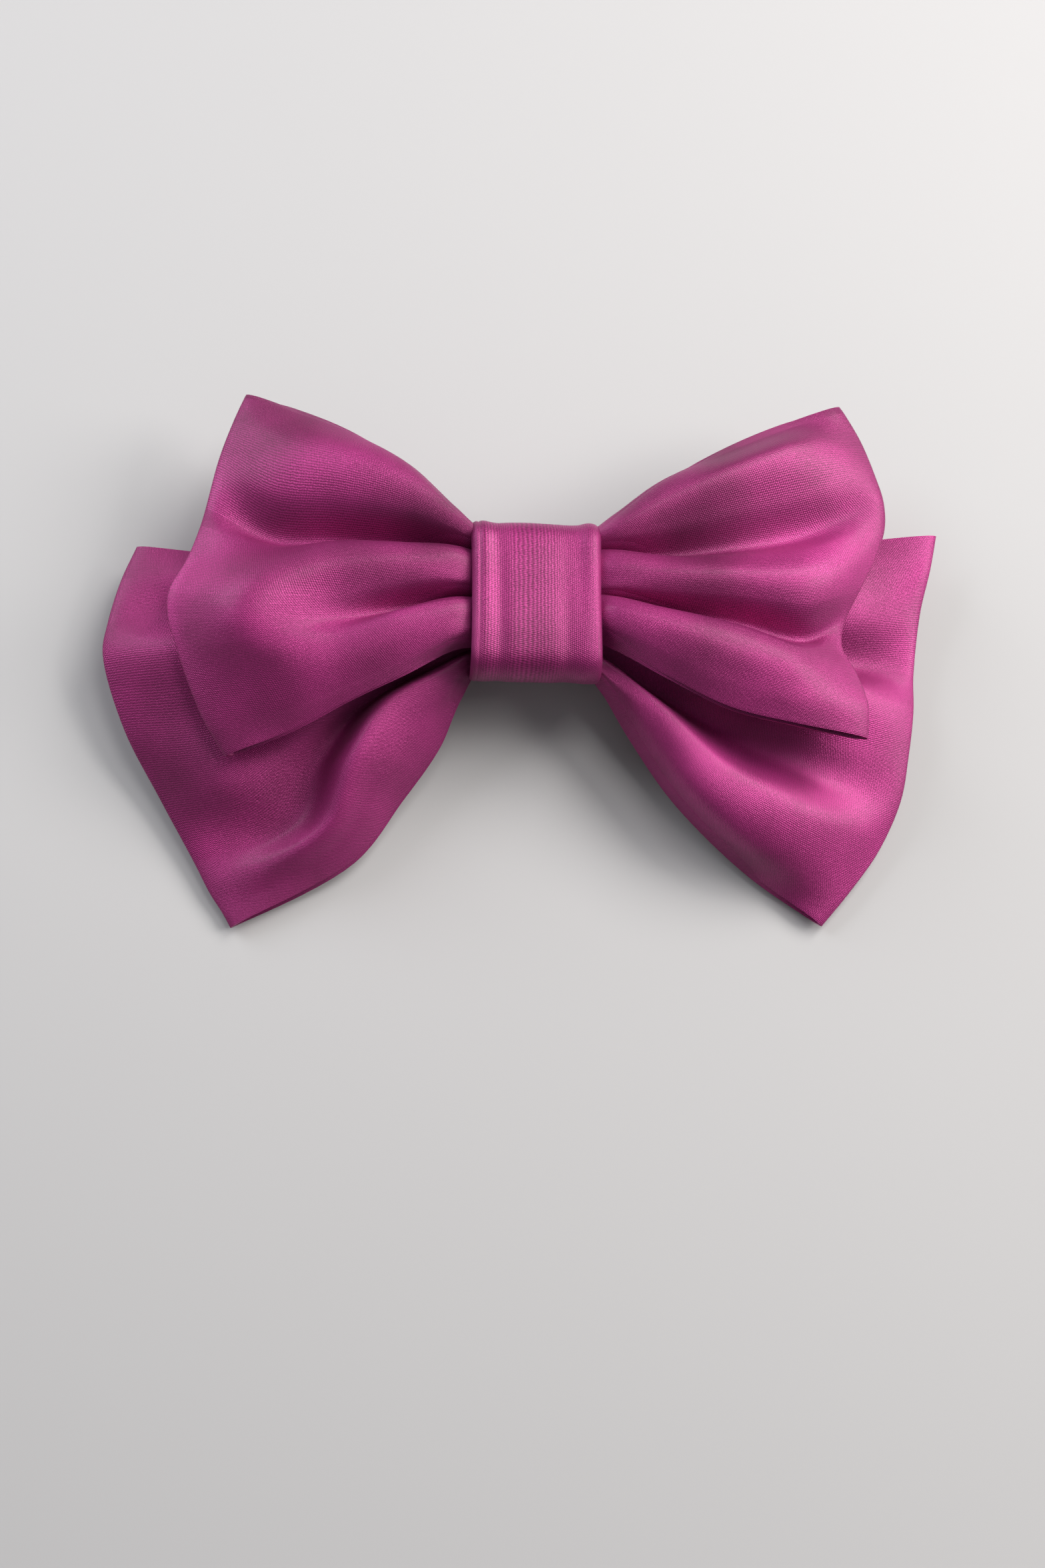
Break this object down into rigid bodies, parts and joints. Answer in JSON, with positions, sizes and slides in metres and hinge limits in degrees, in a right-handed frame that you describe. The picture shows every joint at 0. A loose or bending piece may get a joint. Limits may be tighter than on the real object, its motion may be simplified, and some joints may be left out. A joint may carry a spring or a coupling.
{
  "type": "clip-on bow",
  "caption": "Double-layer pleated satin bow with a wrapped knot and swept lower corners, on a hinged spring barrette clip.",
  "frame": {"origin": "under the middle of the knot, on the plane that the clip's ears and latch prongs stand on", "axes": "+X along the clip towards its latch, +Y towards the bow's upper loops, +Z out of the bow's face"},
  "size_m": [0.1881, 0.1186, 0.03],
  "materials": {
    "satin": "raspberry satin, woven, soft gloss",
    "thread": "polyester sewing thread",
    "glue": "hot-melt glue, waxy",
    "clip_steel": "nickel-plated spring steel",
    "rivet_steel": "bright nickel plate"
  },
  "bodies": {
    "bow": {"front_loop": "satin", "rear_loop": "satin", "knot_band": "satin", "knot_stitches": "thread", "front_gather_thread": "thread", "rear_gather_thread": "thread", "glue_pad": "glue", "base_bar": "clip_steel", "hinge_pin": "rivet_steel", "latch_bridge": "clip_steel", "latch_rivet": "rivet_steel"},
    "clasp": {"clasp_arm": "clip_steel"},
    "tension_spring": {"tension_bar": "clip_steel"},
    "upper_latch": {"upper_prong": "clip_steel"},
    "lower_latch": {"lower_prong": "clip_steel"}
  },
  "joints": [
    {"name": "clasp_hinge", "type": "hinge", "parent": "bow", "child": "clasp", "pos_m": [-0.038, 0, 0.0018], "axis": [0, 1, 0], "range_deg": [0, 70]},
    {"name": "tension_flex", "type": "slide", "parent": "bow", "child": "tension_spring", "axis": [0, 0, 1], "range_m": [0, 0.0012], "stiffness_N_per_m": 1000},
    {"name": "upper_prong_flex", "type": "hinge", "parent": "bow", "child": "upper_latch", "pos_m": [0.036, 0.00155, 0.0076], "axis": [-1, 0, 0], "range_deg": [0, 5], "stiffness_Nm_per_rad": 0.1},
    {"name": "lower_prong_flex", "type": "hinge", "parent": "bow", "child": "lower_latch", "pos_m": [0.036, -0.00155, 0.0076], "axis": [1, 0, 0], "range_deg": [0, 5], "stiffness_Nm_per_rad": 0.1}
  ]
}
